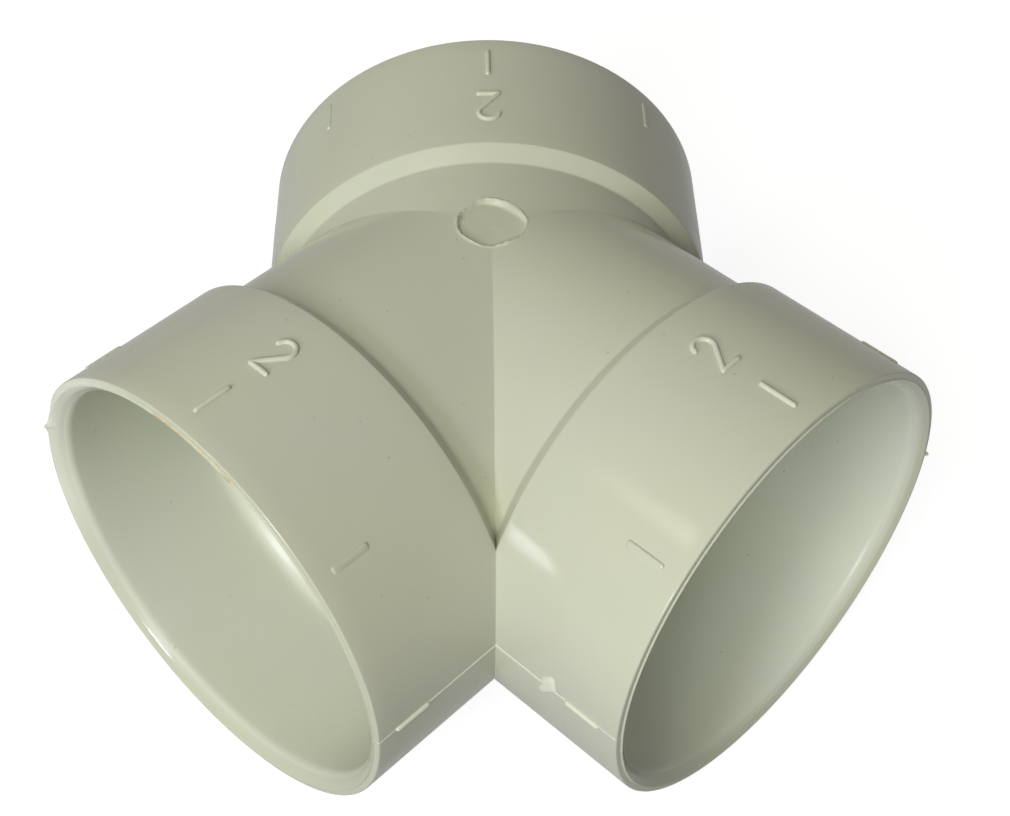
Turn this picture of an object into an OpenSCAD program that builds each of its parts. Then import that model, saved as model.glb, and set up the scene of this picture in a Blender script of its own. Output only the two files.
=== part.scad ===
// Three-way elbow for thin-walled two-inch tubing, moulded in one piece.
// The three axes lie in the plane z = 0 and meet at one point.
// The stem points along +Y, and the two side arms fan out towards -Y.
// The origin is on the stem's axis, at the step where its tube bottoms.

/* [Tube] */
// Outside diameter of the tube that each socket takes
tube_d = 50.8; // [44:0.1:60]
// Wall of that tube, which the step inside each socket matches
tube_wall = 1.6; // [1.2:0.1:2.4]
// Gap all round between the tube and its socket
fit_gap = 0.1; // [0.05:0.05:0.3]

/* [Arms] */
// Wall of the fitting
wall = 2.3; // [1.9:0.1:3]
// Turn of each side arm away from the line of the stem
side_turn = 45; // [40:1:50]
// Depth of each socket, rim to step
socket_depth = 19; // [16:0.5:24]
// Length of the slope between socket and passage
slope_len = 1.6; // [1:0.1:3]
// Web left between the two side sockets, measured along each
side_web = 0.7; // [0.4:0.1:4]
// Passage left in the stem past the crease with the side arms
stem_web = 2.34; // [1.8:0.02:8]
// How much smaller in radius the stem's plain pipe is, so that it lands cleanly
stem_shy = 0.05; // [0.04:0.01:0.1]

/* [Rim] */
// Width and depth of the lead-in chamfer at the mouth
lead_in = 1.25; // [0.6:0.05:1.5]
// Chamfer on the outer corner of the rim
rim_edge = 0.15; // [0.05:0.05:0.3]
// Foot width of the fine ridge round the lead-in
ridge_w = 0.25; // [0.15:0.05:0.35]
// Height of that ridge above the rim face
ridge_h = 0.12; // [0.05:0.01:0.14]

/* [Alignment ticks] */
// Number of ticks round each socket
tick_count = 8; // [4:4:16]
// Rim to the near end of a tick
tick_inset = 2.4; // [1.5:0.1:4]
// Length of a tick
tick_len = 4.8; // [3:0.1:6]
// Width of a tick and of the digit's stroke
stroke_w = 0.6; // [0.4:0.05:0.8]
// Height of the ticks and the digit above the socket
stroke_h = 0.35; // [0.3:0.05:0.6]

/* [Digit] */
// Gap between the tick and the foot of the digit
digit_gap = 3.4; // [2:0.1:4]
// Height of the digit
digit_h = 5.4; // [4.4:0.1:6]
// Width of the digit
digit_w = 3; // [2.4:0.1:4]

/* [Moulding marks] */
// Diameter of the cut sprue on top
sprue_d = 7.9; // [5:0.1:8.5]
// Depth of the cut sprue below the crown
sprue_depth = 0.45; // [0.4:0.05:0.6]
// Width of the parting line
seam_w = 0.2; // [0.1:0.05:0.3]
// Height of the parting line above the skin
seam_h = 0.1; // [0.06:0.01:0.14]
// Rim of the right-hand arm to the flash nib on its parting line
nib_inset = 9.9; // [8.5:0.1:12]
// Diameter of each lobe of the nib
nib_d = 1.3; // [0.8:0.1:2]
// Height of the nib above the skin
nib_h = 0.25; // [0.18:0.01:0.3]

/* [Hidden] */
$fn = 96;
socket_r = tube_d / 2 + fit_gap;
passage_r = tube_d / 2 - tube_wall;
hub_r = socket_r + wall;
body_r = passage_r + wall;
lead_r = socket_r + lead_in;
side_reach = socket_r / tan(side_turn) + side_web + socket_depth;
stem_reach = socket_r * tan(side_turn / 2) + stem_web + socket_depth;
stem_step = stem_reach - socket_depth;
slope_angle = atan2(socket_r - passage_r, slope_len);
// The outside keeps one wall thickness round the inside, so its slope sits deeper
hub_len = socket_depth + wall * tan(slope_angle / 2);
side_arm = 180 - side_turn;
// The side pipes run this far back past the centre, inside the stem
run_back = body_r / 4;
// How deep raised marks are rooted in the wall, and how far cutters run past a face
root = wall / 2;
over = 1;
ivory = [0.79, 0.80, 0.71];

// Lays what was built along +Z along an arm, with its +Y side on top
module along_arm(turn) {
    rotate([0, 0, turn])
        rotate([90, 0, 180])
            children();
}

// Raises a flat drawing on the skin of an arm, its foot towards the rim
module on_skin(angle, from_centre, height) {
    rotate([0, 0, angle])
        translate([0, hub_r - root, from_centre])
            rotate([-90, 0, 0])
                linear_extrude(root + height)
                    children();
}

// Outside of one arm, turned about its axis
module arm_outside(reach, pipe_r, back) {
    rotate_extrude()
        polygon([
            [0, -back],
            [pipe_r, -back],
            [pipe_r, reach - hub_len - slope_len],
            [hub_r, reach - hub_len],
            [hub_r, reach - rim_edge],
            [hub_r - rim_edge, reach],
            [lead_r + ridge_w, reach],
            [lead_r + ridge_h, reach + ridge_h],
            [0, reach + ridge_h]
        ]);
}

// Inside of one arm: passage, slope, socket and lead-in
module arm_inside(reach, pipe_r, back) {
    rotate_extrude()
        polygon([
            [0, -back],
            [pipe_r, -back],
            [pipe_r, reach - socket_depth - slope_len],
            [socket_r, reach - socket_depth],
            [socket_r, reach - lead_in],
            [lead_r + over, reach + over],
            [0, reach + over]
        ]);
}

// Keeps the left half of what the left-hand arm is given, up to the middle plane
module left_half() {
    far = 2 * side_reach;
    intersection() {
        along_arm(side_arm)
            children();
        translate([-far, -far, -far])
            cube([far, 2 * far, 2 * far]);
    }
}

// The two side arms meet face to face on the middle plane
module both_sides() {
    left_half()
        children();
    mirror([1, 0, 0])
        left_half()
            children();
}

// Outside of the whole fitting
module outside() {
    both_sides()
        arm_outside(side_reach, body_r, run_back);
    along_arm(0)
        arm_outside(stem_reach, body_r - stem_shy, 0);
}

// Inside of the whole fitting
module inside() {
    both_sides()
        arm_inside(side_reach, passage_r, run_back);
    along_arm(0)
        arm_inside(stem_reach, passage_r - stem_shy, 0);
}

// Outline of one arm in the parting plane, just proud of the skin
module seam_outline(turn, reach) {
    skin = body_r + seam_h;
    lip = hub_r + seam_h;
    foot = reach - hub_len - slope_len;
    rotate(turn)
        polygon([
            [-skin, 0],
            [-skin, foot],
            [-lip, reach - hub_len],
            [-lip, reach + seam_h],
            [lip, reach + seam_h],
            [lip, reach - hub_len],
            [skin, foot],
            [skin, 0]
        ]);
}

// Parting line: a thin plate whose edge stands proud all round
module seam() {
    linear_extrude(seam_w, center = true) {
        seam_outline(0, stem_reach);
        seam_outline(side_arm, side_reach);
        seam_outline(-side_arm, side_reach);
    }
}

// Points of a half circle about (x, y)
function half_round(x, y, r, start) =
    [for (i = [0:6]) [x + r * cos(start + i * 30), y + r * sin(start + i * 30)]];

// One tick with rounded ends
module tick() {
    r = stroke_w / 2;
    polygon(concat(half_round(0, tick_len - r, r, 0), half_round(0, r, r, 180)));
}

// The digit two: a hook, a straight diagonal and a flat foot
module digit() {
    r = stroke_w / 2;
    bow = (digit_w - stroke_w) / 2;
    top = digit_h - r - bow;
    // The diagonal runs from the foot's left end and leaves the bow where it is tangent
    drop = top - r;
    slant = norm([bow, drop]);
    tangent = acos(bow / slant) + atan2(-drop, -bow);
    heel = r * cos(tangent) - bow - r * (1 - sin(tangent)) * tan(tangent);
    turns = [for (i = [0:12]) tangent + i * (170 - tangent) / 12];
    outer = [for (a = turns) [(bow + r) * cos(a), top + (bow + r) * sin(a)]];
    inner = [for (i = [12:-1:0])
        [(bow - r) * cos(turns[i]), top + (bow - r) * sin(turns[i])]];
    polygon(concat(
        [[-bow - r, 0], [bow + r, 0], [bow + r, stroke_w], [heel, stroke_w]],
        outer,
        inner,
        [[-bow - r, stroke_w]]
    ));
}

// Ticks all round a socket, and the digit behind the top one
module arm_marks(turn, reach) {
    along_arm(turn) {
        for (i = [0:tick_count - 1])
            on_skin(i * 360 / tick_count, reach - tick_inset, stroke_h)
                tick();
        on_skin(0, reach - tick_inset - tick_len - digit_gap, stroke_h)
            digit();
    }
}

// Two-lobed nib of flash on the parting line of the right-hand arm
module flash_nib() {
    along_arm(-side_arm)
        on_skin(90, side_reach - nib_inset, nib_h)
            for (side = [-1, 1])
                translate([side * nib_d / 4, 0])
                    circle(d = nib_d);
}

// Shallow pit on the crown where the sprue was cut away
module sprue_pit() {
    translate([0, 0, body_r - sprue_depth])
        cylinder(d = sprue_d, h = sprue_depth + over);
}

module elbow() {
    color(ivory)
        translate([0, -stem_step, 0])
            difference() {
                union() {
                    outside();
                    seam();
                    arm_marks(0, stem_reach);
                    arm_marks(side_arm, side_reach);
                    arm_marks(-side_arm, side_reach);
                    flash_nib();
                }
                inside();
                sprue_pit();
            }
}

elbow();
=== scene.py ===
# %% [markdown]
# # A three-way elbow, dressed for a product picture
# The real thing is one moulding in off-white plastic. Three sockets for
# two-inch tube meet at one point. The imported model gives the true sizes, and
# this lesson builds a finer skin over it: small radii at every edge, the marks
# that the mould left, and a plastic that looks handled.

import math

import bmesh
import bpy
import numpy as np
from mathutils import Matrix, Vector


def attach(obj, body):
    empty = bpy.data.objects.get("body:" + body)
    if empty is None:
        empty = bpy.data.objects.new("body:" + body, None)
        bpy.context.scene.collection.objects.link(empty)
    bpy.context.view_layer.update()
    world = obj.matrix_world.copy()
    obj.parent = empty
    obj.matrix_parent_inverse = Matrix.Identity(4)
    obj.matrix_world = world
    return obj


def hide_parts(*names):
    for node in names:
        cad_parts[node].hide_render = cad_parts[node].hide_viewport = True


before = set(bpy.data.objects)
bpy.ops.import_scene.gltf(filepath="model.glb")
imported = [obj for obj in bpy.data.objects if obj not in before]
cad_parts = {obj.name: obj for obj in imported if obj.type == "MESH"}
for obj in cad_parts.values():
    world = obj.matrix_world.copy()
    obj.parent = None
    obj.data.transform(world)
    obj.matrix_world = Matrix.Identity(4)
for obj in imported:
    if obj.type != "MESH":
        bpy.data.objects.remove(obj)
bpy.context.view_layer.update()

# %% [markdown]
# ## Sizes
# They are in millimetres and repeat the named values of the model's source. Only
# the rim's edge and its ridge are a little fuller here, so that the picture
# shows them. The drawing is done about the point where the three axes cross,
# which lies nearer the camera than the model's origin. One shift at the end
# puts everything in place.

# %% Sizes in millimetres
MM = 0.001
PIPE_R = 26.1
HUB_R = 27.8
PASSAGE_R = 23.8
SOCKET_R = 25.5
SOCKET_DEPTH = 19.0
SLOPE = 1.6
HUB_LEN = 20.0
LEAD_IN = 1.25
RIDGE_W = 0.32
RIDGE_H = 0.2
RIM_EDGE = 0.2
STEM_WEB = 2.34
SIDE_WEB = 0.7
STEM_REACH = SOCKET_R * math.tan(math.radians(22.5)) + STEM_WEB + SOCKET_DEPTH
SIDE_REACH = SOCKET_R + SIDE_WEB + SOCKET_DEPTH
CROSSING = np.array([0.0, SOCKET_DEPTH - STEM_REACH, 0.0])
print("reach of stem and side arms:", round(STEM_REACH, 2), SIDE_REACH)

# %% [markdown]
# ## The three arms
# Each arm has an axis in the plane z = 0 and a sideways direction, so a point
# on it needs only an angle from the top, a radius and a distance from the
# crossing. On a side arm the sideways direction points into the crotch.

# %% Directions of the arms
def heading(degrees):
    return np.array([math.cos(math.radians(degrees)), math.sin(math.radians(degrees)), 0.0])


ARMS = {
    "stem": {"axis": heading(90), "side": heading(0), "reach": STEM_REACH},
    "left": {"axis": heading(225), "side": heading(315), "reach": SIDE_REACH},
    "right": {"axis": heading(315), "side": heading(225), "reach": SIDE_REACH},
}
UP = np.array([0.0, 0.0, 1.0])


def on_arm(arm, angle, radius, along):
    """Point of an arm, in mm about the crossing; angle in degrees from the top."""
    a = np.radians(angle)
    across = np.multiply.outer(radius * np.sin(a), arm["side"])
    upward = np.multiply.outer(radius * np.cos(a), UP)
    return np.multiply.outer(along, arm["axis"]) + across + upward


print("top of the left rim:", on_arm(ARMS["left"], 0, HUB_R, SIDE_REACH).round(2))

# %% [markdown]
# ## The section of the wall
# A mould never leaves a knife edge, and those small radii catch the light. The
# section is drawn as straight lines, and each corner is then swapped for a
# short arc. A bevel modifier could do it too, but it would also touch the
# creases between the arms.

# %% Round the corners of a section
def rounded(points, steps=4):
    """points: (distance, radius, corner radius). Returns the line with arcs in it."""
    out = []
    for i, (t, r, fillet) in enumerate(points):
        p = np.array([t, r])
        if i in (0, len(points) - 1) or fillet == 0:
            out.append(p)
            continue
        before = np.array(points[i - 1][:2]) - p
        after = np.array(points[i + 1][:2]) - p
        u, v = before / np.linalg.norm(before), after / np.linalg.norm(after)
        half = math.acos(max(-1.0, min(1.0, float(u @ v)))) / 2
        back = fillet / math.tan(half)
        centre = p + (u + v) / np.linalg.norm(u + v) * fillet / math.sin(half)
        start, end = p + u * back - centre, p + v * back - centre
        turn = math.atan2(start[0] * end[1] - start[1] * end[0], float(start @ end))
        for k in range(steps + 1):
            a = turn * k / steps
            c, s = math.cos(a), math.sin(a)
            out.append(centre + [c * start[0] - s * start[1], s * start[0] + c * start[1]])
    return np.array(out)


print("one square corner gives", len(rounded([(0, 0, 0), (1, 0, 0.2), (1, 1, 0)])), "points")

# %% [markdown]
# ## From the crossing over the hub to the rim, and back through the bore
# The line leaves the crossing on the pipe, climbs to the hub, turns in at the
# rim, rises over the fine ridge, and goes down the lead-in and past the stop.
# Three plain rows on the rim's face keep the soft shading of its edge narrow.
# The arc at the passage stays short of the inner crease of the crotch, because
# a longer one would open a slit there.

# %% The section of one arm
FOOT_ROUND = 0.5
HUB_ROUND = 0.3
FACE_ROWS = (0.3, 0.45, 0.6)
RIDGE_ROUND = 0.03
KNEE_IN = 0.35
KNEE_UP = 0.75
KNEE_ROUND = 1.2
LEAD_LEN = 1.4
LEAD_ROUND = 1.6
STOP_ROUND = 2.3
PASSAGE_ROUND = 1.8


def arm_section(reach):
    lead_r = SOCKET_R + LEAD_IN
    return rounded([
        (0, PIPE_R, 0),
        (reach - HUB_LEN - SLOPE, PIPE_R, FOOT_ROUND),
        (reach - HUB_LEN, HUB_R, HUB_ROUND),
        (reach, HUB_R, RIM_EDGE),
        *[(reach, HUB_R - d, 0) for d in FACE_ROWS],
        (reach, lead_r + RIDGE_W, RIDGE_ROUND),
        (reach + RIDGE_H, lead_r + RIDGE_H, RIDGE_ROUND),
        (reach - KNEE_IN, SOCKET_R + KNEE_UP, KNEE_ROUND),
        (reach - LEAD_LEN, SOCKET_R, LEAD_ROUND),
        (reach - SOCKET_DEPTH, SOCKET_R, STOP_ROUND),
        (reach - SOCKET_DEPTH - SLOPE, PASSAGE_R, PASSAGE_ROUND),
        (0, PASSAGE_R, 0),
    ])


for name, arm in ARMS.items():
    arm["section"] = arm_section(arm["reach"])
    print(name, "section has", len(arm["section"]), "points")

# %% [markdown]
# ## Where the arms meet
# Pipes of one radius meet on flat planes, so each crease is part of an ellipse.
# The stem's collar starts a hair before its crease, so there the meeting point
# is searched by halving. The search works for all of them.

# %% Search by halving
HALVINGS = 60
TINY = 1e-9


def outer_radius(arm, along):
    s = arm["section"][: int(np.argmax(arm["section"][:, 0])) + 1]
    return float(np.interp(along, s[:, 0], s[:, 1]))


def halving(f, low, high):
    """The place between low and high where f turns from negative to positive."""
    for _ in range(HALVINGS):
        middle = (low + high) / 2
        low, high = (middle, high) if f(middle) < 0 else (low, middle)
    return (low + high) / 2


print("square root of two:", round(halving(lambda t: t * t - 2, 0, 2), 6))

# %% Find the creases
CROTCH_LIMIT = 60.0
SHOULDER_LIMIT = 20.0


def crotch_crease(angle):
    """Distance at which a side arm leaves the middle plane."""
    s = math.sin(math.radians(angle))
    if s < TINY:
        return 0.0
    return halving(lambda t: t - outer_radius(ARMS["left"], t) * s, 0.0, CROTCH_LIMIT)


def shoulder_crease(angle):
    """Stem's distance, side arm's distance and side arm's angle of one crease point."""
    a = math.radians(abs(angle))
    if math.sin(a) < TINY:
        return 0.0, 0.0, abs(angle)
    half = math.sqrt(0.5)

    def outside_side_arm(t):
        r = outer_radius(ARMS["stem"], t)
        across, up = half * (r * math.sin(a) + t), r * math.cos(a)
        return across * across + up * up - PIPE_R * PIPE_R

    t = halving(outside_side_arm, 0.0, SHOULDER_LIMIT)
    r = outer_radius(ARMS["stem"], t)
    across, up = half * (r * math.sin(a) + t), r * math.cos(a)
    return t, half * (r * math.sin(a) - t), math.degrees(math.atan2(across, up))


print("crotch crease at the parting line:", round(crotch_crease(90), 2))
print("shoulder crease there:", [round(v, 2) for v in shoulder_crease(90)])

# %% [markdown]
# ## A net of columns and rows
# The skin is a net: columns run along each arm at fixed angles, and rows run
# round it. Rows that would lie behind a crease are pulled onto it, and the
# doubled points are welded afterwards. Columns stand closer near the top,
# where the sprue mark needs them, and where the crotch crease climbs the slope.

# %% Angles of the columns
# Each stretch is its first angle, its end and its pitch, in degrees from the top.
STRETCHES = [(0.6, 14.4, 0.6), (16.0, 64.0, 2.0), (64.2, 65.8, 0.1), (67.0, 79.5, 0.5),
             (81.0, 90.0, 1.5)]
CROTCH = 45.0
SHOULDER = 67.5
CROWN_PATCH = 6.5


def column_angles():
    """One half turn, with a column where each crease meets the edge of the crown patch."""
    marks = [0.0]
    for stretch in STRETCHES:
        marks += list(np.arange(*stretch))
    half_turn = np.array(marks)
    half_turn = np.concatenate([half_turn, [90.0], 180.0 - half_turn[::-1]])
    for plane in (CROTCH, SHOULDER):
        s = CROWN_PATCH * math.sin(math.radians(plane)) / PIPE_R
        special = math.degrees(math.asin(s))
        near = np.argmin(abs(half_turn - special))
        half_turn[near] = special
    return np.unique(np.round(half_turn, 6))


HALF = column_angles()
ANGLES = np.concatenate([-HALF[1:-1][::-1], HALF])
print("columns round an arm:", len(ANGLES))

# %% Rows of one column
PITCH = 2.2
SOFT = (0.12, 0.3)


def filled(line, pitch):
    """Adds points to the long straight runs of a section."""
    out = [line[0]]
    for p, q in zip(line[:-1], line[1:]):
        n = max(1, int(math.ceil(np.linalg.norm(q - p) / pitch)))
        out += [p + (q - p) * k / n for k in range(1, n + 1)]
    return np.array(out)


def from_crease(line, start):
    """Rows that run away from a crease, with a fine strip beside it to round it."""
    near = [start] + [start + d for d in SOFT]
    rows = [(t, float(np.interp(t, line[:, 0], line[:, 1]))) for t in near]
    for t, r in line[1:]:
        rows.append((t, r) if t > near[-1] else rows[-1])
    return np.array(rows)


print("points in a filled section:", len(filled(ARMS["stem"]["section"], PITCH)))

# %% Where a column starts
def starts(name, angle):
    """Where a column leaves the creases: outside distance and angle, inside distance."""
    size = abs(angle)
    s = math.sin(math.radians(size))
    crotch = name != "stem" and angle > 0
    inside = PASSAGE_R * s / math.tan(math.radians(CROTCH if crotch else SHOULDER))
    stem_at, side_at, side_angle = shoulder_crease(size)
    if crotch:
        outside, begin = crotch_crease(size), size
    elif name == "stem":
        outside, begin = stem_at, size
    else:
        outside, begin = side_at, side_angle
    if size < 90 and math.hypot(PIPE_R * s, outside) < CROWN_PATCH:
        outside = math.sqrt(CROWN_PATCH ** 2 - (PIPE_R * s) ** 2)
    return outside, begin, inside


print("the left arm's crotch column starts at:", [round(v, 2) for v in starts("left", 90.0)])

# %% [markdown]
# ## A burr on the left rim
# Where the mould was worn, the left arm's rim carries a bent burr: a lip that
# stands out past the hub, and a crease that crosses the face of the rim beside
# it. It could be a piece of its own, but it grows out of the rim without an
# edge, so the rows of the net are moved instead. The lip is a list of angles
# and heights, and soft bell curves fade all of it out along and across the arm.

# %% Move the rows at the burr
BURR_FROM = -61.0
BURR_PEAK = -77.2
BURR_OUT = 0.38
BURR_LIP = [(-88, 0), (-80, -0.04), (BURR_PEAK - 1.4, 0), (BURR_PEAK, BURR_OUT),
            (-75, 0.12), (-72, -0.12), (-68, -0.25), (-64, -0.12), (BURR_FROM, 0)]
LIP_R = 26.9
LIP_FADE = 0.8
FACE_R = 26.85
FACE_SOFT = 0.3
FACE_FADE = 0.5
CREASE_FROM = HUB_R + 0.2
CREASE_UP = 0.4
CREASE_W = 0.42
CREASE_LEAN = 3.8
FOLD_DOWN = 0.18
FOLD_AT = -69.5
FOLD_W = 3.5
FOLD_R = 27.6


def rim_burr(angle, rows, reach):
    """Flash left on the rim of the left arm: a lip that grows outwards, and a crease."""
    if not -90 < angle < BURR_FROM:
        return rows
    lip = np.interp(angle, *zip(*BURR_LIP))
    t, r = rows[:, 0], rows[:, 1]
    at_edge = np.exp(-((reach - t) / LIP_FADE) ** 2) * np.clip((r - LIP_R) / LIP_FADE, 0, 1)
    on_face = np.clip((r - FACE_R) / FACE_SOFT, 0, 1)
    on_face = on_face * np.exp(-((reach - t) / FACE_FADE) ** 2)
    line = BURR_PEAK + (CREASE_FROM - r) * CREASE_LEAN
    aside = np.radians(angle - line) * r
    crease = CREASE_UP * np.exp(-(aside / CREASE_W) ** 2) * on_face
    fold = FOLD_DOWN * np.exp(-((angle - FOLD_AT) / FOLD_W) ** 2) * on_face * (r < FOLD_R)
    return np.column_stack([t + crease - fold, r + lip * at_edge])


print("the lip stands out by", BURR_OUT, "mm at", BURR_PEAK, "degrees")

# %% Nets of the three arms
def column(name, angle):
    """Angles, radii and distances of one column, from outer crease to inner crease."""
    arm = ARMS[name]
    line = filled(arm["section"], PITCH)
    peak = int(np.argmax(line[:, 0])) + 1
    outside, begin, inside = starts(name, angle)
    out = from_crease(line[:peak], outside)
    back = from_crease(line[peak:][::-1], inside)[::-1]
    foot = arm["reach"] - HUB_LEN - SLOPE
    share = np.clip((foot - out[:, 0]) / max(foot - outside, 0.1), 0, 1)
    turn = abs(angle) + (begin - abs(angle)) * share
    turns = np.concatenate([turn, np.full(len(back), abs(angle))]) * (1 if angle >= 0 else -1)
    rows = np.concatenate([out, back])
    if name == "left":
        rows = rim_burr(angle, rows, arm["reach"])
    return turns, rows[:, 1], rows[:, 0]


columns = {name: [column(name, a) for a in ANGLES] for name in ARMS}
nets = {name: np.array([on_arm(ARMS[name], *c) for c in columns[name]]) for name in ARMS}
for name, grid in nets.items():
    print(name, "net:", grid.shape[0], "columns by", grid.shape[1], "rows")

# %% [markdown]
# ## The sprue mark
# The plastic came in at the crown. The sprue was cut off a little rough, so
# there is a shallow round pit with a torn lip. Its patch is a polar net whose
# outer ring takes the very points where the columns stop, so it welds without
# a gap. A boolean cut would leave long thin faces in the middle of the gloss.

# %% The plain crown, and a bump on a circle
def roof(x, y):
    """Height of the plain pipes over a point near the crown."""
    best = 0.0
    for arm in ARMS.values():
        along = x * arm["axis"][0] + y * arm["axis"][1]
        across = x * arm["side"][0] + y * arm["side"][1]
        if along >= -1e-6:
            best = max(best, math.sqrt(PIPE_R ** 2 - across ** 2))
    return best


def bump(x, centre, width):
    """A bell curve round a circle; x, centre and width in radians."""
    d = (x - centre + math.pi) % (2 * math.pi) - math.pi
    return math.exp(-(d / width) ** 2)


print("height of the crown, 5 mm ahead of the crossing:", round(roof(0, -5), 3))

# %% [markdown]
# ## Shape of the cut
# Three lines round the pit tell its shape: how far out its edge runs, how high
# the cutter pushed the lip, and how wide the wall is that leads down. Each is
# a plain value with waves in it, and bumps where the picture shows a
# flatter, deeper or torn place. Noise would do for a pit seen from far away,
# but here each side of it looks different.

# %% Height of the crown with the pit in it
PIT_R = 3.95
PIT_FLOOR = PIPE_R - 0.47
PIT_TILT = 0.03
LIP_W = 0.16
DEEP_SIDE = 0.85
TORN_SIDE = 3.0


def crown_height(distance, around):
    """Height of the crown with the cut sprue in it, in polar terms."""
    x, y = distance * math.cos(around), distance * math.sin(around)
    far_wall = bump(around, DEEP_SIDE, 0.5)
    torn = bump(around, TORN_SIDE, 0.5)
    edge = PIT_R + 0.05 * math.sin(3 * around + 0.6) + 0.04 * math.sin(7 * around + 1.3)
    edge += 0.02 * math.sin(19 * around) - 0.22 * bump(around, 2.35, 0.35)
    lip = 0.13 + 0.05 * math.sin(5 * around + 0.4) + 0.03 * math.sin(23 * around + 2)
    lip *= 1 - 0.75 * bump(around, 6.1, 0.4) - 0.6 * bump(around, 2.45, 0.3)
    lip *= 1 - 0.7 * far_wall
    lip *= 1 + 0.7 * bump(around, 5.1, 0.4)
    wall = 0.26 + 0.75 * far_wall + 0.2 * torn
    wall -= 0.14 * bump(around, 6.2, 0.4) + 0.1 * bump(around, 5.4, 0.4)
    out = distance - edge
    plain = roof(x, y)
    if out >= 0:
        return plain + lip * math.exp(-(out / LIP_W) ** 2)
    down = min(1.0, -out / wall)
    ease = down * down * (3 - 2 * down)
    deeper = x * math.cos(DEEP_SIDE) + y * math.sin(DEEP_SIDE)
    flat = PIT_FLOOR - PIT_TILT * deeper + 0.006 * math.sin(2.1 * x + 1.3 * y)
    return (plain + lip) * (1 - ease) + flat * ease


print("the pit is", round(PIPE_R - crown_height(0, 0), 2), "mm deep")

# %% Crown patch
RINGS = [5.9, 5.4, 5.0, 4.75, 4.55, 4.4, 4.3, 4.2, 4.12, 4.05, 3.98, 3.9, 3.82, 3.74,
         3.66, 3.56, 3.44, 3.3, 3.1, 2.85, 2.5, 2.0, 1.5, 1.0, 0.5]
SAME_PLACE = 1e-4


def crown_ring():
    """Points of the nets that lie on the patch's edge, in order round it."""
    ring = []
    for grid in nets.values():
        for p in grid[:, 0]:
            if p[2] > 0 and abs(math.hypot(p[0], p[1]) - CROWN_PATCH) < SAME_PLACE:
                ring.append(p)
    ring.sort(key=lambda p: math.atan2(p[1], p[0]))
    return [p for i, p in enumerate(ring) if np.linalg.norm(p - ring[i - 1]) > SAME_PLACE]


edge_ring = crown_ring()
patch = [edge_ring]
for radius in RINGS:
    row = []
    for p in edge_ring:
        around = math.atan2(p[1], p[0])
        x, y = radius * math.cos(around), radius * math.sin(around)
        row.append(np.array([x, y, crown_height(radius, around)]))
    patch.append(row)
print("crown patch:", len(edge_ring), "points round,", len(patch), "rings")

# %% [markdown]
# ## Where the plastic is clean or stained, and where light is painted on it
# The bores get a lighter, cooler tone than the outside: painted bounce light. A
# brown smear with a thin darker line sits on the rim of the left arm, and beside
# its burr the rim is painted lighter, a painted highlight. Each is stored on the
# skin's points as a plain number from 0 to 1, and the material reads it later
# by name. A painted image would do the same, but numbers need no unwrapping.

# %% Numbers for the material
# A pair named DEEP is in mm below the rim, and one named OUT is a pair of radii:
# between its two values each share fades.
BORE_DEEP = (0.1, 1.2)
STAIN_ANGLES = (-6.0, 19.0)
STAIN_DEEP = (1.2, 2.0)
STAIN_OUT = (27.5, 27.79)
RUST_R = 26.93
RUST_W = 0.1
# Painted highlight on the face of the left rim beside the burr, where it is lit brighter.
RIM_HIGHLIGHT = 0.8
RIM_HIGHLIGHT_RISE = (-125, -95)
RIM_HIGHLIGHT_FALL = (-45, -8)
RIM_HIGHLIGHT_DEEP = (1.0, 2.2)
RIM_HIGHLIGHT_OUT = (27.6, 27.79)


def step(x, low, high):
    """0 below low and 1 above high, with a smooth climb between."""
    s = np.clip((x - low) / (high - low), 0, 1)
    return s * s * (3 - 2 * s)


def bore_share(name, k):
    """0 on the outside and the rim, 1 deep in the bore, for column k."""
    turns, radii, along = columns[name][k]
    peak = int(np.argmax(along))
    deep = step(ARMS[name]["reach"] - along, *BORE_DEEP)
    return np.where(np.arange(len(along)) > peak, deep, 0.0)


def stain_share(name, k):
    """1 on the stained stretch of the left rim, for column k."""
    turns, radii, along = columns[name][k]
    if name != "left":
        return np.zeros(len(along))
    low, high = STAIN_ANGLES
    here = step(turns, low - 2, low + 3) * (1 - step(turns, high - 2, high + 1))
    near = 1 - step(ARMS[name]["reach"] - along, *STAIN_DEEP)
    return here * near * (1 - step(radii, *STAIN_OUT))


def rust_share(name, k):
    """1 on a thin line where the face of the rim meets the lead-in."""
    turns, radii, along = columns[name][k]
    return np.exp(-((radii - RUST_R) / RUST_W) ** 2) * (stain_share(name, k) > 0.05)


def rim_highlight_share(name, k):
    """How far the left rim is painted lighter, a painted highlight: most beside the left
    arm's burr.
    """
    turns, radii, along = columns[name][k]
    if name != "left":
        return np.zeros(len(along))
    here = step(turns, *RIM_HIGHLIGHT_RISE) * (1 - step(turns, *RIM_HIGHLIGHT_FALL))
    near = 1 - step(ARMS[name]["reach"] - along, *RIM_HIGHLIGHT_DEEP)
    return RIM_HIGHLIGHT * here * near * (1 - step(radii, *RIM_HIGHLIGHT_OUT))


stained = sum(stain_share("left", k).max() > 0.5 for k in range(len(ANGLES)))
print("stained columns on the left rim:", stained)

# %% [markdown]
# ## From nets to a mesh
# A net becomes a mesh by joining each four neighbours to a quad. Points that
# fall together, where arms meet, are then merged, and faces that shrank to a
# line are dissolved. A closed mesh has two faces at every edge, which is a
# quick test that all the seams met.

# %% Build a mesh from a net
WELD = 0.0012


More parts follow.
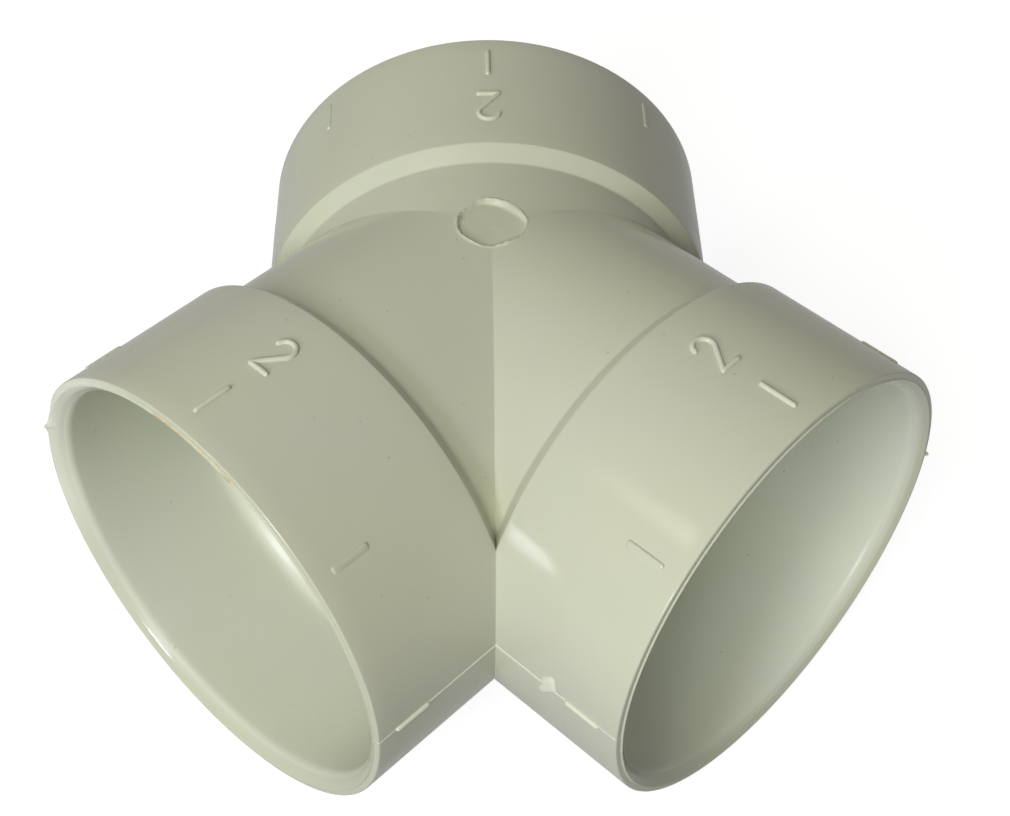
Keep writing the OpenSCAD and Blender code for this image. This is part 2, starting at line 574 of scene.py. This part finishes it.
def add_grid(mesh, rows, closed, numbers=()):
    """Adds a net of points to a bmesh, as quads. numbers: (layer name, grid of values)."""
    layers = [(mesh.verts.layers.float.get(n) or mesh.verts.layers.float.new(n), v)
              for n, v in numbers]
    verts = []
    for i, row in enumerate(rows):
        verts.append([mesh.verts.new((p + CROSSING) * MM) for p in row])
        for layer, values in layers:
            for vert, value in zip(verts[-1], values[i]):
                vert[layer] = value
    count = len(rows)
    for i in range(count if closed else count - 1):
        a, b = verts[i], verts[(i + 1) % count]
        for j in range(len(a) - 1):
            mesh.faces.new((a[j], a[j + 1], b[j + 1], b[j]))
    return verts


def weld(mesh):
    bmesh.ops.remove_doubles(mesh, verts=mesh.verts, dist=WELD * MM)
    bmesh.ops.dissolve_degenerate(mesh, edges=mesh.edges, dist=WELD * MM)
    bmesh.ops.recalc_face_normals(mesh, faces=mesh.faces)


def to_object(mesh, name):
    data = bpy.data.meshes.new(name)
    mesh.to_mesh(data)
    mesh.free()
    data.shade_smooth()
    piece = bpy.data.objects.new(name, data)
    bpy.context.collection.objects.link(piece)
    print(name, "has", len(data.polygons), "faces")
    return piece


# %% Skin of the arms
skin_mesh = bmesh.new()
for layer in ("bore", "stain", "rust", "wear_and_highlight", "torn", "teeth", "turn"):
    skin_mesh.verts.layers.float.new(layer)
for name, grid in nets.items():
    bore = [bore_share(name, k) for k in range(len(ANGLES))]
    stain = [stain_share(name, k) for k in range(len(ANGLES))]
    rust = [rust_share(name, k) for k in range(len(ANGLES))]
    rim_highlight = [rim_highlight_share(name, k) for k in range(len(ANGLES))]
    numbers = (("bore", bore), ("stain", stain), ("rust", rust), ("wear_and_highlight", rim_highlight))
    add_grid(skin_mesh, list(grid), True, numbers)
print("points in the three nets:", len(skin_mesh.verts))

# %% [markdown]
# ## The torn cut and its teeth
# The cut is dull, and on its left side the cutter left fine teeth. They are too
# fine for the net, so the patch stores where they are and how far round the
# pit each point lies, and the material later draws them as relief.

# %% Skin of the crown, and the weld
TORN_R = 4.6
TORN_FADE = 0.6
TEETH = 64
TEETH_R = 3.7
TEETH_W = 0.45

spoke_points = [[row[k] for row in patch] for k in range(len(edge_ring))]
centre_height = crown_height(0.0, 0.0)
middle = skin_mesh.verts.new((np.array([0, 0, centre_height]) + CROSSING) * MM)
radii = [CROWN_PATCH] + RINGS
bearings = [math.atan2(p[1], p[0]) % (2 * math.pi) for p in edge_ring]
torn = [[float(step(TORN_R - r, 0.0, TORN_FADE)) for r in radii]] * len(edge_ring)
teeth = [[bump(b, TORN_SIDE, TEETH_W) * math.exp(-((r - TEETH_R) / TEETH_W) ** 2)
          for r in radii] for b in bearings]
turn = [[TEETH * b] * len(radii) for b in bearings]
numbers = (("torn", torn), ("teeth", teeth), ("turn", turn))
spokes = add_grid(skin_mesh, spoke_points, True, numbers)
for k in range(len(spokes)):
    skin_mesh.faces.new((spokes[k - 1][-1], middle, spokes[k][-1]))
weld(skin_mesh)
open_edges = sum(1 for e in skin_mesh.edges if len(e.link_faces) != 2)
print("edges not shared by two faces:", open_edges)
skin = to_object(skin_mesh, "elbow_skin")

# %% [markdown]
# ## Raised marks
# Ticks, the digit and the parting line stand a few tenths of a millimetre
# proud. Each is a bead: a rounded section swept along a path that is drawn on
# the unrolled skin. Its foot runs a little below the skin. The mould opened
# straight up and down, so a tick on a flank can't have a steep lower side: that
# side runs out as a ramp, and from above only the upper edge shows.

# %% Sweep a bead along a path on the skin
END_STEPS = (0.5, 0.8, 0.95, 1.0)
END_WIDTH = 0.02
ARC_STEPS = 10
ROUNDNESS = 0.8
FOOT_WIDER = 1.15
FOOT_BELOW = -0.12
# Crests of the beads are painted whiter, rising with their height: rubbed wear and a painted
# highlight.
CREST_RUB_AND_HIGHLIGHT = 2.5
MARK_RUB_AND_HIGHLIGHT = 0.35


def bead(mesh, arm, start_angle, path, width, height, ramp=0.0, rub_and_highlight=MARK_RUB_AND_HIGHLIGHT):
    """path: (across, along) points in mm, across to the right when the rim is below."""
    path = np.array(path, float)
    right = np.cross(UP, arm["axis"])
    flip = 1.0 if float(right @ arm["side"]) > 0 else -1.0
    ahead = np.gradient(path, axis=0)
    ahead /= np.linalg.norm(ahead, axis=1)[:, None]
    stations = [(p, d, 1.0) for p, d in zip(path, ahead)]
    for k in END_STEPS:
        shrink = math.sqrt(max(0.0, 1 - k * k))
        stations.insert(0, (path[0] - ahead[0] * k * width / 2, ahead[0], shrink))
        stations.append((path[-1] + ahead[-1] * k * width / 2, ahead[-1], shrink))
    rows, wear_and_highlight = [], []
    for p, d, size in stations:
        normal = np.array([-d[1], d[0]])
        row = []
        wear_and_highlight.append([])
        for k in range(-1, ARC_STEPS + 2):
            a = math.radians(180 * min(max(k, 0), ARC_STEPS) / ARC_STEPS)
            out = width / 2 * math.cos(a) * max(size, END_WIDTH)
            up = height * math.sin(a) ** ROUNDNESS * size
            if k in (-1, ARC_STEPS + 1):
                out, up = out * FOOT_WIDER, FOOT_BELOW
            q = p + normal * out
            aside = flip * q[0]
            if aside * ramp > 0:
                aside += (height * size - up) * ramp
            angle = start_angle + math.degrees(aside / HUB_R)
            row.append(on_arm(arm, angle, HUB_R + up, q[1]))
            wear_and_highlight[-1].append(min(1.0, max(0.0, CREST_RUB_AND_HIGHLIGHT * up / height)) * rub_and_highlight)
        rows.append(row)
    add_grid(mesh, rows, False, (("wear_and_highlight", wear_and_highlight),))


def straight(a, b, steps=6):
    a, b = np.array(a, float), np.array(b, float)
    return [a + (b - a) * k / steps for k in range(steps + 1)]


print("points along a straight stroke:", len(straight((0, 0), (0, 1))))

# %% [markdown]
# ## Eight ticks and one digit on each hub
# The ticks help to line up two fittings, and the digit tells the tube's size in
# inches. The flank ticks are the ones that run out as ramps. The tick a quarter
# turn from the top lies in the crotch on a side arm, and its whiter tone is a painted
# highlight.

# %% One tick
TICK_INSET = 2.4
TICK_LEN = 4.8
STROKE_W = 0.6
STROKE_H = 0.35
FLANK_H = 0.2
FLANK_RAMP = {1: 1.6, 3: -1.6, 5: 1.6, 7: -1.6}
CROTCH_EIGHTH = 2
# The crotch tick's whiter tone is a painted highlight.
CROTCH_HIGHLIGHT = 0.8
HALF_STROKE = STROKE_W / 2


def tick(mesh, arm, eighth):
    """A short bead along the arm, at so many eighths of a turn from the top."""
    near = arm["reach"] - TICK_INSET - HALF_STROKE
    far = arm["reach"] - TICK_INSET - TICK_LEN + HALF_STROKE
    ramp = FLANK_RAMP.get(eighth, 0)
    high = FLANK_H if ramp else STROKE_H
    rub_and_highlight = 0.0 if ramp else CROTCH_HIGHLIGHT if eighth == CROTCH_EIGHTH else MARK_RUB_AND_HIGHLIGHT
    bead(mesh, arm, eighth * 45, straight((0, near), (0, far)), STROKE_W, high, ramp, rub_and_highlight)


print("flank ticks:", len(FLANK_RAMP), "of 8")

# %% One digit
DIGIT_GAP = 3.4
DIGIT_H = 5.4
DIGIT_W = 3.0
HOOK_FROM = 170
HOOK_POINTS = 18


def digit(mesh, arm):
    """A plain 2: a hook that runs on into the slanted stroke, and a base."""
    foot = arm["reach"] - TICK_INSET - TICK_LEN - DIGIT_GAP
    bow = (DIGIT_W - STROKE_W) / 2
    top = DIGIT_H - HALF_STROKE - bow
    leaves = math.degrees(math.acos(bow / math.hypot(bow, top - HALF_STROKE)))
    leaves += math.degrees(math.atan2(HALF_STROKE - top, -bow))
    hook = [(bow * math.cos(math.radians(a)), top + bow * math.sin(math.radians(a)))
            for a in np.linspace(HOOK_FROM, leaves, HOOK_POINTS)]
    hook += [tuple(p) for p in straight(hook[-1], (-bow, HALF_STROKE), 8)[1:]]
    base = [tuple(p) for p in straight((-bow, HALF_STROKE), (bow, HALF_STROKE), 8)]
    for line in (hook, base):
        bead(mesh, arm, 0, [(x, foot - y) for x, y in line], STROKE_W, STROKE_H)


print("the digit is", DIGIT_H, "mm high and", DIGIT_W, "mm wide")

# %% Ticks and digits
marks_mesh = bmesh.new()
marks_mesh.verts.layers.float.new("wear_and_highlight")
for arm in ARMS.values():
    for eighth in range(8):
        tick(marks_mesh, arm, eighth)
    digit(marks_mesh, arm)
weld(marks_mesh)
marks = to_object(marks_mesh, "raised_marks")

# %% [markdown]
# ## Parting line
# The two halves of the mould met in the plane of the axes, and a hair of
# plastic crept between them. The line runs from the crease over the hub and
# round the rim's edge to the ridge. On the right arm it ends in a tiny thorn.
# A bump in the material would be flat at the outline, so this is a mesh too.

# %% Path of the parting line
SEAM_W = 0.4
SEAM_H = 0.11
CREASE_GAP = 0.4
HUB_END = 1.2
RIM_STEPS = (1.0, 0.8, 0.6, 0.45, 0.3)
EDGE_FROM = 0.22


def seam_path(arm, outside):
    """Distances and radii along the outside, from the crease to the top of the ridge."""
    line = filled(arm["section"], PITCH)
    line = line[: int(np.argmax(line[:, 0])) + 1]
    rim = arm["reach"]
    path = [(outside, outer_radius(arm, outside))]
    path += [(t, r) for t, r in line if outside + CREASE_GAP < t < rim - HUB_END]
    path += [(rim - d, HUB_R) for d in RIM_STEPS]
    path += [(t, r) for t, r in line if t > rim - EDGE_FROM]
    return np.array(path)


print("points along one parting line:", len(seam_path(ARMS["stem"], 0.0)))

# %% Parting line and thorn
SEAM_BELOW = 0.02
SLIM = 0.5
SLIM_FROM = 0.3
# The parting line's whiter tone is rubbed wear and a painted highlight on its crest, less
# near the rim.
SEAM_RIM_RUB_AND_HIGHLIGHT = 0.3
SEAM_RUB_AND_HIGHLIGHT = 0.55
THORN = 0.4
THORN_LONG = 0.35
THORN_DEEP = 0.3


def seam_rows(name, side):
    """The bead of one line, and how far its rows are painted whiter, as rubbed wear and a
    painted highlight.
    """
    arm = ARMS[name]
    rim = arm["reach"]
    path = seam_path(arm, starts(name, side * 90.0)[0])
    ahead = np.gradient(path, axis=0)
    ahead /= np.linalg.norm(ahead, axis=1)[:, None]
    rows, wear_and_light = [], []
    for (t, r), (ahead_t, ahead_r) in zip(path, ahead):
        thorn = THORN * math.exp(-((rim - t) / THORN_LONG) ** 2
                                 - ((HUB_R - r) / THORN_DEEP) ** 2)
        slim = SLIM if t > rim - SLIM_FROM else 1.0
        top = SEAM_H * slim + (thorn if name == "right" and side < 0 else 0)
        row = []
        for k in range(7):
            a = math.radians(180 * k / 6)
            out, up = SEAM_W * slim / 2 * math.cos(a), top * math.sin(a) - SEAM_BELOW
            angle = side * 90 + math.degrees(out / r)
            row.append(on_arm(arm, angle, r + up * ahead_t, t - up * ahead_r))
        rows.append(row)
        wear_and_light.append([SEAM_RIM_RUB_AND_HIGHLIGHT if t > rim - TICK_INSET else SEAM_RUB_AND_HIGHLIGHT] * 7)
    return rows, wear_and_light


seam_mesh = bmesh.new()
seam_mesh.verts.layers.float.new("wear_and_highlight")
for name in ARMS:
    for side in (1, -1):
        rows, wear_and_light = seam_rows(name, side)
        add_grid(seam_mesh, rows, False, (("wear_and_highlight", wear_and_light),))
weld(seam_mesh)
seam = to_object(seam_mesh, "parting_line")

# %% [markdown]
# ## A nib of flash
# Beside the right arm's tick in the crotch, a drop of plastic got out of the
# mould and set as a flat nib in the shape of a heart. Its outline is a list of
# points with a smooth curve through them, and smaller copies of the outline
# climb to its top. A bevelled curve could do the same, but it wouldn't bend
# with the hub.

# %% Outline of the nib
NIB_OUTLINE = [(-0.2, -1.3), (0.6, -0.6), (1.5, 0.25), (2.0, 0.95), (1.55, 1.2), (0.95, 1.15),
               (0.45, 0.95), (-0.1, 0.65), (-0.75, 0.75), (-1.5, 0.2), (-2.0, -0.4),
               (-2.05, -0.85), (-1.55, -1.1), (-0.9, -1.2)]

loop = np.array(NIB_OUTLINE)
smooth = []
for k in range(len(loop)):
    a, b, c, d = (loop[(k + j) % len(loop)] for j in (-1, 0, 1, 2))
    for u in np.linspace(0, 1, 5)[:-1]:
        smooth.append(0.5 * (2 * b + (c - a) * u + (2 * a - 5 * b + 4 * c - d) * u * u
                             + (3 * b - a - 3 * c + d) * u ** 3))
print("nib is", round(max(p[0] for p in smooth) - min(p[0] for p in smooth), 2), "mm wide")

# %% Nib
NIB_INSET = 9.9
NIB_H = 0.22
NIB_CROWN = 0.04
NIB_BELOW = -0.08
# The nib's whiter tone is rubbed wear and a painted highlight.
NIB_RUB_AND_HIGHLIGHT = 0.8
NIB_SHARES = (1.08, 1.0, 0.95, 0.88, 0.78, 0.6, 0.4, 0.2)


def nib_height(share):
    """Height of the nib where its outline has shrunk to this share."""
    if share > 1:
        return NIB_BELOW
    return NIB_H * (1 - share ** 6) + NIB_CROWN * (share - share ** 2)


nib_mesh = bmesh.new()
nib_mesh.verts.layers.float.new("wear_and_highlight")
right_arm = ARMS["right"]
rows = []
for share in NIB_SHARES:
    row = []
    for x, y in smooth:
        angle = 90 + math.degrees(x * share / HUB_R)
        along = right_arm["reach"] - NIB_INSET - y * share
        row.append(on_arm(right_arm, angle, HUB_R + nib_height(share), along))
    rows.append(row)
wear_and_light = [[NIB_RUB_AND_HIGHLIGHT] * len(rows)] * len(smooth)
rims = add_grid(nib_mesh, [list(c) for c in zip(*rows)], True, (("wear_and_highlight", wear_and_light),))
nib_mesh.faces.new([c[-1] for c in rims])
weld(nib_mesh)
nib = to_object(nib_mesh, "flash_nib")

# %% [markdown]
# ## The plastic
# Off-white PVC is nearly a plain colour, so it lives by small things. The tone
# drifts a little from place to place, a few dark grains lie in it, hair
# scratches cross it, raised edges are painted whiter as rubbed wear and a
# painted highlight, and the gloss changes from spot to spot. Nearly all of it
# comes from noise and cells in the object's own space, so it has no seams.

# %% Node helpers
plastic = bpy.data.materials.new("off_white_pvc")
plastic.use_nodes = True
tree = plastic.node_tree
shader = tree.nodes["Principled BSDF"]
place = tree.nodes.new("ShaderNodeTexCoord").outputs["Object"]


def feed(socket, value):
    """Links a socket to another node's output, or sets a plain value on it."""
    if isinstance(value, bpy.types.NodeSocket):
        tree.links.new(value, socket)
    else:
        socket.default_value = value


def math_node(kind, a, b=0.0):
    n = tree.nodes.new("ShaderNodeMath")
    n.operation = kind
    feed(n.inputs[0], a)
    feed(n.inputs[1], b)
    return n.outputs[0]


def band(value, low, high, start=0.0, end=1.0):
    """Maps low..high to start..end, and holds it there outside."""
    n = tree.nodes.new("ShaderNodeMapRange")
    n.interpolation_type = "SMOOTHSTEP"
    feed(n.inputs["Value"], value)
    n.inputs["From Min"].default_value = low
    n.inputs["From Max"].default_value = high
    n.inputs["To Min"].default_value = start
    n.inputs["To Max"].default_value = end
    return n.outputs["Result"]


def blend(share, a, b, kind="MIX"):
    n = tree.nodes.new("ShaderNodeMix")
    n.data_type = "RGBA"
    n.blend_type = kind
    feed(n.inputs["Factor"], share)
    feed(n.inputs["A"], a)
    feed(n.inputs["B"], b)
    return n.outputs["Result"]


def stored(name):
    """A number that was stored on the points of the mesh."""
    n = tree.nodes.new("ShaderNodeAttribute")
    n.attribute_name = name
    return n.outputs["Fac"]


print("the plastic starts with", len(tree.nodes), "nodes")

# %% Noise, grains and hair scratches
def mapped(stretch, turn):
    """The object's own space, stretched and turned."""
    m = tree.nodes.new("ShaderNodeMapping")
    feed(m.inputs["Vector"], place)
    m.inputs["Scale"].default_value = stretch
    m.inputs["Rotation"].default_value = turn
    return m.outputs["Vector"]


def noise(scale, detail=3.0, rough=0.5):
    n = tree.nodes.new("ShaderNodeTexNoise")
    feed(n.inputs["Vector"], mapped((1, 1, 1), (0, 0, 0)))
    n.inputs["Scale"].default_value = scale
    n.inputs["Detail"].default_value = detail
    n.inputs["Roughness"].default_value = rough
    return n.outputs["Fac"]


def grains(cell, size, stretch=(1, 1, 1), turn=(0, 0, 0)):
    """Small spots, cell mm apart and size mm across; a stretch draws them out."""
    n = tree.nodes.new("ShaderNodeTexVoronoi")
    feed(n.inputs["Vector"], mapped(stretch, turn))
    n.inputs["Scale"].default_value = 1000 / cell
    radius = size / 2 / cell
    return band(n.outputs["Distance"], radius * 0.5, radius, 1.0, 0.0)


specks = grains(3.6, 0.36)
streaks = grains(5.5, 0.45, (1, 1, 0.25), (0.6, 0.3, 0.8))
scratches = math_node("MAXIMUM", grains(5.0, 0.2, (1, 1, 0.045), (0.9, 0.5, 0.2)),
                      grains(6.0, 0.2, (1, 0.04, 1), (0.3, 0.2, 0.7)))
print("with specks, streaks and scratches:", len(tree.nodes), "nodes")

# %% Colour
OUTSIDE = (0.606, 0.612, 0.482, 1)
# The bores' lighter, cooler tone is painted bounce light.
BORE_BOUNCE_TONE = (0.680, 0.698, 0.588, 1)
GRAIN = (0.26, 0.25, 0.19, 1)
# Whiter tone for scratches, rubbed wear and painted highlights.
RUB_AND_HIGHLIGHT_TONE = (0.82, 0.83, 0.69, 1)
STAIN = (0.62, 0.57, 0.38, 1)
RUST = (0.36, 0.24, 0.09, 1)
SPECKS_SHOW = 0.4
STREAKS_SHOW = 0.25
SCRATCHES_SHOW = 0.12
SMEAR_SHOWS = 0.6
RUST_SHOWS = 0.75
DRIFT = (0.3, 0.7, 0.965, 1.03)
BLUE_DRIFT = (0.3, 0.7, 0.955, 1.035)
SMEAR_PATCHES = (0.3, 0.6, 0.35, 1.0)
RUST_PATCHES = (0.5, 0.62)

tone = blend(stored("bore"), OUTSIDE, BORE_BOUNCE_TONE)
drift = band(noise(22, 4.0, 0.55), *DRIFT)
lighter = tree.nodes.new("ShaderNodeCombineColor")
for channel in ("Red", "Green"):
    feed(lighter.inputs[channel], drift)
feed(lighter.inputs["Blue"], band(noise(31, 3.0), *BLUE_DRIFT))
tone = blend(1.0, tone, lighter.outputs["Color"], "MULTIPLY")
tone = blend(math_node("MULTIPLY", specks, SPECKS_SHOW), tone, GRAIN)
tone = blend(math_node("MULTIPLY", streaks, STREAKS_SHOW), tone, GRAIN)
tone = blend(math_node("MULTIPLY", scratches, SCRATCHES_SHOW), tone, RUB_AND_HIGHLIGHT_TONE)
# Rubbed wear and painted highlights: crests of the marks, the parting line, the nib and the
# left rim.
tone = blend(stored("wear_and_highlight"), tone, RUB_AND_HIGHLIGHT_TONE)
smear = math_node("MULTIPLY", stored("stain"), band(noise(420, 3.0), *SMEAR_PATCHES))
tone = blend(math_node("MULTIPLY", smear, SMEAR_SHOWS), tone, STAIN)
rust = math_node("MULTIPLY", stored("rust"), band(noise(380, 3.0), *RUST_PATCHES))
tone = blend(math_node("MULTIPLY", rust, RUST_SHOWS), tone, RUST)
feed(shader.inputs["Base Color"], tone)
print("with its colour:", len(tree.nodes), "nodes")

# %% [markdown]
# ## Gloss and relief
# The outside shines, and the bores, the torn cut, the scratches and the smear
# are duller. Relief is laid on in layers, from the slow swell of a moulded
# skin, over a fine grain, to the scratches and the teeth of the cut. Each
# layer's heights are real millimetres.

# %% Gloss
REFRACTION = 1.53
SHINE = (0.3, 0.75, 0.1, 0.15)
DULLER = [(stored("bore"), 0.2), (stored("torn"), 0.35), (scratches, 0.15), (smear, 0.2)]

gloss = band(noise(45, 5.0, 0.6), *SHINE)
for where, amount in DULLER:
    gloss = math_node("ADD", gloss, math_node("MULTIPLY", where, amount))
feed(shader.inputs["Roughness"], gloss)
shader.inputs["IOR"].default_value = REFRACTION
print("with its gloss:", len(tree.nodes), "nodes")

# %% Relief
# Depth in mm and strength of each layer.
SWELL = (0.03, 0.3)
FINE = (0.003, 0.4)
CUT = (0.01, 0.2)
BITE = (0.11, 0.8)


def relief(height, depth, strength, normal=None):
    """Bump, laid over the normal of the layer before."""
    n = tree.nodes.new("ShaderNodeBump")
    n.inputs["Strength"].default_value = strength
    n.inputs["Distance"].default_value = depth * MM
    feed(n.inputs["Height"], height)
    if normal:
        feed(n.inputs["Normal"], normal)
    return n.outputs["Normal"]


swell = relief(noise(160, 2.0, 0.4), *SWELL)
fine = relief(noise(1400, 2.0, 0.5), *FINE, swell)
cut = relief(math_node("SUBTRACT", 1.0, scratches), *CUT, fine)
ragged = math_node("MULTIPLY", stored("teeth"), band(noise(1100, 2.0), 0.4, 0.6, 0.1, 1.0))
bites = math_node("MULTIPLY", math_node("SINE", stored("turn")), ragged)
feed(shader.inputs["Normal"], relief(bites, *BITE, cut))
print("nodes in the plastic:", len(tree.nodes))

# %% [markdown]
# ## Put the plastic on, and let the pieces ride
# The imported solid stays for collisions, and the skin stands for it in the
# picture. Every piece rides on the one body, so they move as one moulding.
# Joining them to one mesh would do too, but separate pieces are easier to find
# and to change.

# %% Put it on the pieces
for piece in (skin, marks, seam, nib):
    piece.data.materials.append(plastic)
    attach(piece, "root")
    print(piece.name, "rides on root")
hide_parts("elbow")

# %% [markdown]
# ## Floor and white surround
# The picture is a product shot on pure white. The floor and the world show
# white to the camera, while the plastic is lit by the lamps alone, so a white
# background never washes it out. Reflections see the same surround, but dimmer:
# the real one stood in a darker room, and its flanks stay dark. The floor takes
# the object's shadow, because its own plain part is lit as usual.

# %% White for the eye only
MIRRORED = 0.35


def seen(nodes_and_links):
    """1 for camera and transmission rays, less for glossy ones, 0 for light on things."""
    path = nodes_and_links.nodes.new("ShaderNodeLightPath")
    dim = nodes_and_links.nodes.new("ShaderNodeMath")
    dim.operation = "MULTIPLY"
    dim.inputs[1].default_value = MIRRORED
    nodes_and_links.links.new(path.outputs["Is Glossy Ray"], dim.inputs[0])
    total = dim.outputs[0]
    for kind in ("Is Camera Ray", "Is Transmission Ray"):
        n = nodes_and_links.nodes.new("ShaderNodeMath")
        n.operation = "MAXIMUM"
        nodes_and_links.links.new(total, n.inputs[0])
        nodes_and_links.links.new(path.outputs[kind], n.inputs[1])
        total = n.outputs[0]
    return total


def level(nodes_and_links, low, high, socket):
    """Feeds a socket with high where the surround is seen, and with low elsewhere."""
    n = nodes_and_links.nodes.new("ShaderNodeMapRange")
    nodes_and_links.links.new(seen(nodes_and_links), n.inputs["Value"])
    n.inputs["To Min"].default_value = low
    n.inputs["To Max"].default_value = high
    nodes_and_links.links.new(n.outputs["Result"], socket)


print("reflections see the surround at", MIRRORED)

# %% Floor
REST = -(HUB_R + STROKE_H) * MM
FLOOR_SIZE = 6
FLOOR_GREY = (0.32, 0.32, 0.32, 1)
FLOOR_DULL = 0.9
SEEN_WHITE = 0.86
WHITE = (1, 1, 1, 1)

bpy.ops.mesh.primitive_plane_add(size=FLOOR_SIZE, location=(0, 0, REST))
floor = bpy.context.object
floor.name = "floor"
white = bpy.data.materials.new("white_floor")
white.use_nodes = True
paint = white.node_tree.nodes["Principled BSDF"]
paint.inputs["Base Color"].default_value = FLOOR_GREY
paint.inputs["Roughness"].default_value = FLOOR_DULL
paint.inputs["Specular IOR Level"].default_value = 0.0
paint.inputs["Emission Color"].default_value = WHITE
level(white.node_tree, 0.0, SEEN_WHITE, paint.inputs["Emission Strength"])
floor.data.materials.append(white)
print("the floor lies at", round(REST * 1000, 2), "mm")

# %% World
FAINT = 0.06

world = bpy.data.worlds.new("studio")
bpy.context.scene.world = world
world.use_nodes = True
air = world.node_tree.nodes["Background"]
air.inputs["Color"].default_value = WHITE
level(world.node_tree, FAINT, 1.0, air.inputs["Strength"])
print("the world lights things at", FAINT)

# %% [markdown]
# ## Lamps
# Soft lamps stand to the left of the camera, low and high, and they give the
# bright rims and the dark flank of the left arm. The low one also makes the
# bright wedge on the right arm: it is mirrored twice, first by the left arm. A
# small one far left draws the soft stripe along the right arm. The others only
# fill in, and are kept out of reflections, as a wide white tent would be. Each
# is placed by its direction.

# %% Lamps
AIM = Vector((0, -0.013, 0))


def lamp(name, around, high, away, size, power, colour, mirrored=True):
    """around: degrees from the camera's side, to the right; high: degrees up."""
    data = bpy.data.lights.new(name, "AREA")
    data.shape = "DISK"
    data.size = size
    data.energy = power
    data.color = colour
    stand = bpy.data.objects.new(name, data)
    bpy.context.collection.objects.link(stand)
    a, e = math.radians(around), math.radians(high)
    direction = Vector((math.sin(a) * math.cos(e), -math.cos(a) * math.cos(e), math.sin(e)))
    stand.location = AIM + direction * away
    stand.rotation_euler = (-direction).to_track_quat("-Z", "Y").to_euler()
    stand.visible_glossy = mirrored


lamp("key", -34, 22, 0.9, 0.2, 2.7, (0.82, 0.84, 0.98))
lamp("front", -15, 35, 0.9, 0.3, 2.85, (0.95, 1.0, 0.94), False)
lamp("warm_left", -34, 50, 0.9, 0.3, 1.65, (1.0, 0.96, 0.71), False)
lamp("left", -90, 14, 1.3, 0.8, 1.8, (0.88, 1.0, 0.94), False)
lamp("glint", -69, 48, 0.9, 0.15, 0.12, (1.0, 0.94, 0.7))
lamp("overhead", 0, 68, 1.3, 0.8, 1.2, (1.0, 0.95, 1.0), False)
lamp("behind", 180, 25, 1.3, 0.8, 3.2, (1.0, 0.99, 0.93), False)
print("lamps:", len(bpy.data.lights))

# %% [markdown]
# ## Camera
# The view was found by a pinhole model: points that are easy to name, such as
# the rims and the ends of the ticks, were matched to their places in the
# picture until the misses were about a pixel. What came out is a lens, a turn
# from the world to the camera, and the crossing's place before the camera, in
# hub radii. A camera set by eye is quicker, but then no edge lines up.

# %% Camera
SENSOR = 36
LENS = 65.17
TURN = Vector((2.3956, -0.0201, 0.0242))
BEFORE = Vector((-0.0664, -0.1153, 8.0738))

camera_data = bpy.data.cameras.new("camera")
camera_data.sensor_width = SENSOR
camera_data.lens = LENS
camera = bpy.data.objects.new("camera", camera_data)
bpy.context.collection.objects.link(camera)
world_to_camera = Matrix.Rotation(TURN.length, 3, TURN.normalized())
camera_place = -(world_to_camera.transposed() @ BEFORE) * (HUB_R * MM)
look = world_to_camera.transposed() @ Matrix(((1, 0, 0), (0, -1, 0), (0, 0, -1)))
camera.matrix_world = Matrix.Translation(camera_place + Vector(CROSSING * MM)) @ look.to_4x4()
bpy.context.scene.camera = camera
print("camera at mm:", [round(v * 1000, 2) for v in camera.location])

# %% [markdown]
# ## Finish
# Standard colours keep the plastic as it was mixed.

# %% Finish
scene = bpy.context.scene
scene.view_settings.view_transform = "Standard"
